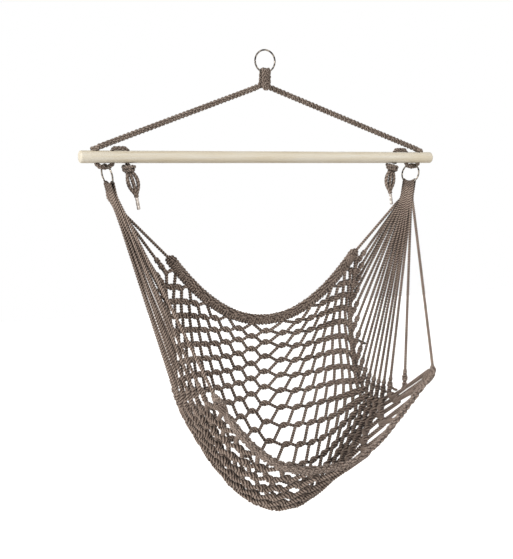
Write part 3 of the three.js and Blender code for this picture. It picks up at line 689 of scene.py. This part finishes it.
# Drills the upright holes, each eased a little where it breaks the surface
def drillBar(piece):
    cutterMesh = bpy.data.meshes.new("drills")
    shape = bmesh.new()
    around = 28
    for side in sides.values():
        for hole in range(bar["holes"]):
            x = side * (outerHole - hole * bar["holePitch"])
            loops = []
            for height, radius in drill:
                angles = [2 * math.pi * j / around for j in range(around)]
                loops.append([shape.verts.new(toFrame(Vector((
                    x + radius * math.cos(angle), radius * math.sin(angle), height)))) for angle in angles])
            for first, second in zip(loops, loops[1:]):
                for j in range(around):
                    k = (j + 1) % around
                    shape.faces.new((first[j], first[k], second[k], second[j]))
            shape.faces.new(reversed(loops[0]))
            shape.faces.new(loops[-1])
    shape.to_mesh(cutterMesh)
    shape.free()
    cutter = bpy.data.objects.new("drills", cutterMesh)
    bpy.context.collection.objects.link(cutter)
    modifier = piece.modifiers.new("drill", "BOOLEAN")
    modifier.operation = "DIFFERENCE"
    modifier.solver = "EXACT"
    modifier.object = cutter
    evaluated = piece.evaluated_get(bpy.context.evaluated_depsgraph_get())
    mesh = bpy.data.meshes.new_from_object(evaluated)
    piece.modifiers.clear()
    old = piece.data
    piece.data = mesh
    mesh.name = piece.name
    bpy.data.meshes.remove(old)
    bpy.data.objects.remove(cutter)
    mesh.set_sharp_from_angle(angle=math.radians(35))


spreaderBar = meshPiece("spreaderBar", "hanger", beechFinish, buildBar, ["spreader_bar"])
drillBar(spreaderBar)
print("bar, rings and rope made")

# The net spreads from side edge to side edge and from the back rim to the front rim
net = {
    "width": 582, "reach": 290, "drop": 862, "columns": 20, "rows": 16,
    "crowding": {"left": 0.5, "right": 0.92},
    "station": [0, 0.094, 0.219, 0.344, 0.469, 0.594, 0.719, 0.844, 0.906, 0.969, 1],
    "leftWidth": [0.92, 0.93, 0.89, 0.865, 0.882, 0.895, 0.925, 0.942, 0.95, 0.96, 0.965],
    "leftReach": [-0.055, -0.069, -0.075, -0.04, 0.03, 0.12, 0.3, 0.58, 0.72, 0.87, 1],
    "leftDrop": [0.299, 0.364, 0.45, 0.539, 0.629, 0.678, 0.684, 0.66, 0.643, 0.621, 0.602],
    "rightWidth": [0.914, 0.9, 0.88, 0.869, 0.88, 0.9, 0.931, 0.959, 0.976, 0.99, 1],
    "rightReach": [-0.055, -0.069, -0.095, -0.05, 0.01, 0.08, 0.185, 0.32, 0.405, 0.63, 1],
    "rightDrop": [0.302, 0.362, 0.441, 0.53, 0.622, 0.685, 0.712, 0.715, 0.7, 0.665, 0.589],
    "middleReach": [-0.069, -0.076, -0.09, -0.03, 0.15, 0.4, 0.63, 0.745, 0.79, 0.85, 0.879],
    "middleDrop": [0.492, 0.542, 0.631, 0.722, 0.82, 0.91, 0.962, 0.929, 0.901, 0.868, 0.853],
    "middleShift": [0, 0, -0.004, -0.023, -0.063, -0.122, -0.146, -0.087, -0.047, 0.002, 0.027],
    "leftSag": [2.08, 1.98, 1.83, 1.7, 1.58, 1.72, 2.07, 2.3, 2.3, 2.3, 2.3],
    "rightSag": [2.08, 1.98, 1.9, 1.8, 1.6, 2.0, 2.6, 3.0, 3.0, 2.8, 2.5],
    "leftRound": [2, 2, 2, 2, 2, 2, 2, 2, 2, 2, 2],
    "rightRound": [2, 2, 2, 1.8, 1.4, 1.2, 1.1, 1.2, 1.3, 1.6, 1.8],
    "rightDraw": [0, 0, 0, 0, 0.2, 0.5, 0.8, 0.8, 0.75, 0.65, 0.6],
}
cord = {
    "net": 9.6, "arm": 8.2, "pressed": 4.2, "lay": 13.5, "spliceLength": 50, "spliceWidth": 16.5,
    "jointLength": 20, "jointSwell": 1.22, "slackSwell": 0.24, "rimHook": 6.5,
}
netRadius = cord["net"] / 2
armRadius = cord["arm"] / 2
pressedArm = cord["pressed"] / 2


# A value of one of the net's tables at a share of the way from the back edge to the front edge
def follow(name, share):
    values = net[name]
    stations = net["station"]
    start = 0
    while start < len(stations) - 2 and share > stations[start + 1]:
        start += 1

    def slope(i):
        before = max(i - 1, 0)
        after = min(i + 1, len(stations) - 1)
        return (values[after] - values[before]) / (stations[after] - stations[before])

    span = stations[start + 1] - stations[start]
    t = (share - stations[start]) / span
    hold = (1 + 2 * t) * (1 - t) ** 2 * values[start] + t * t * (3 - 2 * t) * values[start + 1]
    return hold + t * (1 - t) ** 2 * slope(start) * span - t * t * (1 - t) * slope(start + 1) * span


def netPoint(across, along):
    size = abs(across)
    edge = "left" if across < 0 else "right"
    reach = size * (1 + net["crowding"][edge] * (1 - size))
    edgeReach = follow(edge + "Reach", along)
    edgeDrop = follow(edge + "Drop", along)
    shift = net["width"] / 2 * follow("middleShift", along) * (1 - reach ** 2)
    forward = edgeReach + (follow("middleReach", along) - edgeReach) * (1 - reach ** follow(edge + "Round", along))
    drop = edgeDrop + (follow("middleDrop", along) - edgeDrop) * (1 - reach ** follow(edge + "Sag", along))
    drawn = reach
    if edge == "right":
        drawn -= follow("rightDraw", along) * reach ** 2 * (1 - reach)
    x = math.copysign(net["width"] / 2 * follow(edge + "Width", along) * drawn, across) + shift
    return Vector((x, -net["reach"] * forward, -net["drop"] * drop))


# The net's own directions at a place: along the row, towards the back, and out of the net to the front
def netFrame(across, along):
    small = 0.01
    row = (netPoint(across + small, along) - netPoint(across - small, along)).normalized()
    column = (netPoint(across, along - small) - netPoint(across, along + small)).normalized()
    through = row.cross(column).normalized()
    return row, through, through.cross(row)


def clewPlace(ringFrame, out, offset, up):
    bottom = ringFrame["middle"] - ringFrame["up"] * seatRingRadius
    return bottom + ringFrame["through"] * out + ringFrame["along"] * offset + ringFrame["up"] * up


clew = {"loops": 9, "pitch": 3.9, "gather": {"left": 30, "right": 42}, "bend": 12, "draw": 0.7}


# Where an arm of a clew starts below the ring; arms are counted from the back rim to the front rim
def armStart(name, side, arm, up):
    ringFrame = seatRingFrame(name, side)
    offset = clew["pitch"] * ((clew["loops"] - 1) / 2 - arm // 2)
    reach = (ring["seatWire"] / 2 + touch + pressedArm) * (1 if arm % 2 else -1) * (1 if up >= 0 else clew["draw"])
    return clewPlace(ringFrame, reach, offset, up)


def edgeWay(name, side, along, arm):
    point = netPoint(side, along)
    return point, (armStart(name, side, arm, -clew["gather"][name]) - point).normalized()


columns = net["columns"]
rows = net["rows"]


# The middle of the joint in one column on a cord that keeps to one or the other of two rows
def jointMiddle(column, row):
    return netPoint(2 * column / columns - 1, row / rows)


# The way of a joint's twist: between its neighbours, more towards the near ones
def jointWay(column, row):
    here = jointMiddle(column, row)
    total = Vector()
    for sign in (-1, 1):
        for half in (-0.5, 0.5):
            near = row + half
            if not 0 <= column + sign <= columns or not 0 <= near <= rows:
                continue
            leg = jointMiddle(column + sign, near) - here
            total += leg * sign / leg.length ** 2.2
    return total.normalized()


def netCord(evenRow, oddRow):
    route = []
    for column in range(1, columns):
        row = evenRow if column % 2 == 0 else oddRow
        other = oddRow if column % 2 == 0 else evenRow
        upper = other < row
        here = jointMiddle(column, row)
        _, through, _ = netFrame(2 * column / columns - 1, row / rows)
        way = jointWay(column, row)
        up = through.cross(way).normalized()
        chord = (jointMiddle(column + 1, other) - jointMiddle(column - 1, other)).length
        length = min(cord["jointLength"], 0.4 * chord)
        across = 2 * column / columns - 1
        under = min(1, max(0, (row - 10) / 3))
        wall = min(1, max(0, (row - 7.5) / 2)) * min(1, max(0, (across - 0.45) / 0.3))
        slack = max(under, wall)
        # Slack cords under the seat and in its right wall swell
        radius = netRadius * (1 + cord["slackSwell"] * slack)
        hook = -1 if upper else 1
        reach = netRadius * 0.6
        if oddRow in (0, rows) and column % 2:
            reach = cord["rimHook"]
        for i in range(5):
            t = i / 4 - 0.5
            spot = here + way * length * t + up * hook * reach * math.cos(math.pi * t)
            spot += through * -hook * netRadius * 0.7 * math.sin(math.pi * t)
            swell = 1 + (cord["jointSwell"] - 1) * math.cos(math.pi * t)
            route.append((spot, radius * swell))
    return route


# The end of a net cord: up its arm, wound about it and thinned away
def spliceEnd(name, side, row, below):
    point, way = edgeWay(name, side, row / rows, round(row + 0.5))
    _, through, _ = netFrame(side * 0.98, row / rows)
    across = through.cross(way).normalized()
    depth = way.cross(across)
    stops = []
    steps = 12
    for i in range(steps + 1):
        share = i / steps
        angle = math.pi * below + 2.6 * math.pi * share
        swell = (cord["spliceWidth"] / 2 - netRadius) * math.sin(math.pi * (0.12 + 0.8 * share)) ** 0.8
        wound = (across * math.cos(angle) + depth * math.sin(angle)) * swell
        spot = point + way * cord["spliceLength"] * share + wound
        stops.append((spot, netRadius * (1 if share < 0.8 else 1 - 3.2 * (share - 0.8))))
    return stops


def wholeCord(evenRow, oddRow):
    below = 1 if oddRow > evenRow else 0
    left = spliceEnd("left", -1, evenRow, below)
    right = spliceEnd("right", 1, evenRow, 1 - below)
    return left[::-1] + netCord(evenRow, oddRow) + right


netLook = {
    "ringSpacing": 1.4, "sides": 8, "plies": 2, "relief": 0.36, "lay": cord["lay"], "finish": cordFinish,
    "slot": "cord_cotton",
}
for bandName, firstRow in (("back", 0), ("lumbar", 4), ("seat", 8), ("front", 12)):
    cords = []
    for n in range(4):
        evenRow = firstRow + n + 0.5
        cords.append(wholeCord(evenRow, evenRow - 0.5))
        cords.append(wholeCord(evenRow, evenRow + 0.5))
    cordPiece("net" + bandName.capitalize(), "seat", cords, netLook,
              [f"net_{bandName}_{group}" for group in ("left", "middle", "right")])
    cordLengths = [round(routeLength(route)) for route in cords]
    print("net cords of", bandName, "are", min(cordLengths), "to", max(cordLengths), "mm long")
for row in range(0, rows + 1, 4):
    rowRoute = [(netPoint(i / 50 - 1, row / rows), 0) for i in range(101)]
    print("net's width along row", row, "is", round(routeLength(rowRoute)), "mm")
for across in (-1, 0, 1):
    columnRoute = [(netPoint(across, i / 80), 0) for i in range(81)]
    print("net's depth at share", across, "is", round(routeLength(columnRoute)), "mm")


# Trimmed ends of splices, left to stick out
def trimmedRoutes():
    routes = []
    for row, reach, wave in ((1.5, 16, 2), (2.5, 14, -2), (6.5, 30, 4), (9.5, 12, 2), (13.5, 20, -2), (14.5, 24, 3)):
        point, way = edgeWay("right", 1, row / rows, round(row + 0.5))
        across, _, _ = netFrame(0.98, row / rows)
        outward = Vector((across.x, across.y * 0.4, 0)).normalized()
        route = []
        for i in range(7):
            share = i / 6
            spot = point + way * (16 + wave * math.sin(2 * math.pi * share) * 0.6) + outward * reach * share
            route.append((spot - Vector((0, 0, reach * 0.25 * share ** 2)), netRadius * 0.8))
        routes.append(smoothRoute(route, coarseStep))
    return routes


cordPiece("trimmedEnds", "seat", trimmedRoutes(), netLook)


# The rims are plaited from doubled cords
rims = {
    "back": {
        "along": 0, "diameter": 22, "pitch": 27, "strand": 4.4, "plaitWidth": 6.8, "plaitDepth": 3.8,
        "finish": cordFinish,
    },
    "front": {
        "along": 1, "diameter": 21, "pitch": 13, "strand": 4.1, "plaitWidth": 6.6, "plaitDepth": 3.6,
        "finish": rimFinish,
    },
}
rimTail = 13


def rimStops(look):
    outward = 1 if look["along"] < 0.5 else -1
    stops = []
    frames = []
    steps = 140
    for i in range(steps + 1):
        across = -1 + 2 * i / steps
        _, through, square = netFrame(across, look["along"])
        offset = outward * (look["diameter"] / 2 + 4.5 + touch)
        stops.append((netPoint(across, look["along"]) + square * offset, look["diameter"] / 2))
        frames.append((square, through))
    return stops, frames


def rimRoutes(look):
    stops, frames = rimStops(look)
    arm = 17 if look["along"] else 0
    for name, side in sides.items():
        corner = stops[0][0] if side < 0 else stops[-1][0]
        way = (armStart(name, side, arm, -clew["gather"][name]) - corner).normalized()
        for i in range(1, 6):
            share = i / 5
            stop = (corner + way * rimTail * share, look["diameter"] / 2 * (1 - 0.45 * share ** 2))
            if side < 0:
                stops.insert(0, stop)
                frames.insert(0, frames[0])
            else:
                stops.append(stop)
                frames.append(frames[-1])
    return plaitRoutes(stops, frames, {
        "routeRadius": look["diameter"] / 2, "width": look["plaitWidth"], "depth": look["plaitDepth"],
        "strand": look["strand"], "pitch": look["pitch"], "doubled": 2,
    }), (stops[0][0], stops[-1][0])


binding = {"turns": 6, "pitch": 5.2, "strand": 5.6}


# A cord wound tightly about each end of a rim
def bindingRoutes(look):
    stops, _ = rimStops(look)
    places = [place for place, _ in stops]
    routes = []
    for end in (places, places[::-1]):
        axis = (end[6] - end[1]).normalized()
        side = axis.orthogonal().normalized()
        lift = axis.cross(side)
        steps = binding["turns"] * 12
        route = []
        for i in range(steps + 1):
            share = i / steps
            angle = 2 * math.pi * binding["turns"] * share
            swell = look["diameter"] / 2 * (0.62 + 0.3 * math.sin(math.pi * (0.2 + 0.7 * share)))
            spot = end[0] + axis * (4 + binding["turns"] * binding["pitch"] * share)
            route.append((spot + (side * math.cos(angle) + lift * math.sin(angle)) * swell, binding["strand"] / 2))
        routes.append(smoothRoute(route, coarseStep))
    return routes


rimEnds = {}
for rimName, look in rims.items():
    routes, rimEnds[rimName] = rimRoutes(look)
    print(rimName, "rim is", round(routeLength(rimStops(look)[0])), "mm long between the net's corners")
    rimLook = dict(netLook, ringSpacing=1.6, finish=look["finish"])
    cordPiece(rimName + "Rim", "seat", routes, rimLook, [rimName + "_rim"])
    cordPiece(rimName + "RimBindings", "seat", bindingRoutes(look), dict(netLook, plies=2, lay=9))
print("net and rims made")


# A clew is nine cords folded over the seat ring, so eighteen arms run out to the net's side
def clewRoutes(name, side):
    ringFrame = seatRingFrame(name, side)
    wireReach = ring["seatWire"] / 2 + touch + pressedArm
    ends = []
    for arm in range(18):
        if arm in (0, 17):
            end = rimEnds["back" if arm == 0 else "front"][0 if side < 0 else 1]
        else:
            end = netPoint(side, (arm - 0.5) / rows)
        ends.append(end)
    routes = []
    for loop in range(clew["loops"]):
        offset = clew["pitch"] * ((clew["loops"] - 1) / 2 - loop)
        rise = seatRingRadius - math.sqrt(seatRingRadius ** 2 - offset ** 2)
        route = []
        arms = (2 * loop, 2 * loop + 1)
        first = armStart(name, side, arms[0], -clew["gather"][name])
        last = armStart(name, side, arms[1], -clew["gather"][name])
        route.append((ends[arms[0]], armRadius))
        for share in (0.25, 0.5, 0.75, 0.9):
            route.append((ends[arms[0]].lerp(first, share), armRadius))
        route.append((first, armRadius))
        route.append((armStart(name, side, arms[0], -clew["bend"]), (armRadius + pressedArm) / 2))
        arch = turnPoints(clewPlace(ringFrame, 0, offset, rise), ringFrame["through"], ringFrame["up"],
                          wireReach, wireReach, math.pi, 0, 8)
        route += [(place, pressedArm) for place in arch]
        route.append((armStart(name, side, arms[1], -clew["bend"]), (armRadius + pressedArm) / 2))
        route.append((last, armRadius))
        for share in (0.1, 0.25, 0.5, 0.75):
            route.append((last.lerp(ends[arms[1]], share), armRadius))
        route.append((ends[arms[1]], armRadius))
        routes.append(route)
    return routes


for sideName, side in sides.items():
    replaced = ["clew_turns_" + sideName] + [f"clew_cord_{sideName}_{n:02d}" for n in range(1, 19)]
    clewCords = clewRoutes(sideName, side)
    cordPiece("clew" + sideName.capitalize(), "seat", clewCords, netLook, replaced)
    clewLengths = [round(routeLength(route)) for route in clewCords]
    print("clew cords", sideName, "are", min(clewLengths), "to", max(clewLengths), "mm long")
print("clews made")


studio = {"reach": 6, "floor": -1.57, "glow": 0.78, "ambient": 0.27}


# Rays that see the background meet white, while the lamps still draw the object's shadow on the floor
def seenShare(tree):
    path = addNode(tree, "ShaderNodeLightPath").outputs
    direct = calculate(tree, "MAXIMUM", path["Is Camera Ray"], path["Is Glossy Ray"])
    return calculate(tree, "MAXIMUM", direct, path["Is Transmission Ray"])


def floorMaterial():
    material, tree, shader = newMaterial("paleFloor")
    shader.inputs["Base Color"].default_value = linear("#f4f2ef")
    shader.inputs["Roughness"].default_value = 0.9
    shader.inputs["Emission Color"].default_value = (1, 1, 1, 1)
    tree.links.new(calculate(tree, "MULTIPLY", seenShare(tree), studio["glow"]), shader.inputs["Emission Strength"])
    return material


def makeStage():
    floor = bpy.data.objects.new("floor", bpy.data.meshes.new("floor"))
    reach = studio["reach"]
    corners = [(x, y, studio["floor"]) for x, y in ((-reach, -reach), (reach, -reach), (reach, reach), (-reach, reach))]
    floor.data.from_pydata(corners, [], [(0, 1, 2, 3)])
    floor.data.materials.append(floorMaterial())
    bpy.context.collection.objects.link(floor)

    world = bpy.data.worlds.new("studio")
    bpy.context.scene.world = world
    world.use_nodes = True
    tree = world.node_tree
    tree.nodes.clear()
    lit = addNode(tree, "ShaderNodeBackground", {"Color": (1, 1, 1, 1), "Strength": studio["ambient"]})
    white = addNode(tree, "ShaderNodeBackground", {"Color": (1, 1, 1, 1), "Strength": 1.0})
    both = addNode(tree, "ShaderNodeMixShader", {0: seenShare(tree), 1: lit.outputs[0], 2: white.outputs[0]})
    addNode(tree, "ShaderNodeOutputWorld", {"Surface": both.outputs[0]})


lamps = {
    "keyLight": {"turn": (84, 0, -78), "angle": 12, "strength": 1.95},
    "fillLight": {"turn": (66, 0, 12), "angle": 30, "strength": 0.85},
    "topLight": {"turn": (28, 0, -10), "angle": 40, "strength": 0.3},
}


# Broad, even light from the front and the left, as from large soft boxes
def makeLamps():
    for name, look in lamps.items():
        data = bpy.data.lights.new(name, "SUN")
        data.angle = math.radians(look["angle"])
        data.energy = look["strength"]
        lamp = bpy.data.objects.new(name, data)
        lamp.rotation_euler = [math.radians(angle) for angle in look["turn"]]
        bpy.context.collection.objects.link(lamp)


makeStage()
makeLamps()
bpy.context.scene.view_settings.view_transform = "Standard"
print("stage and lamps set")
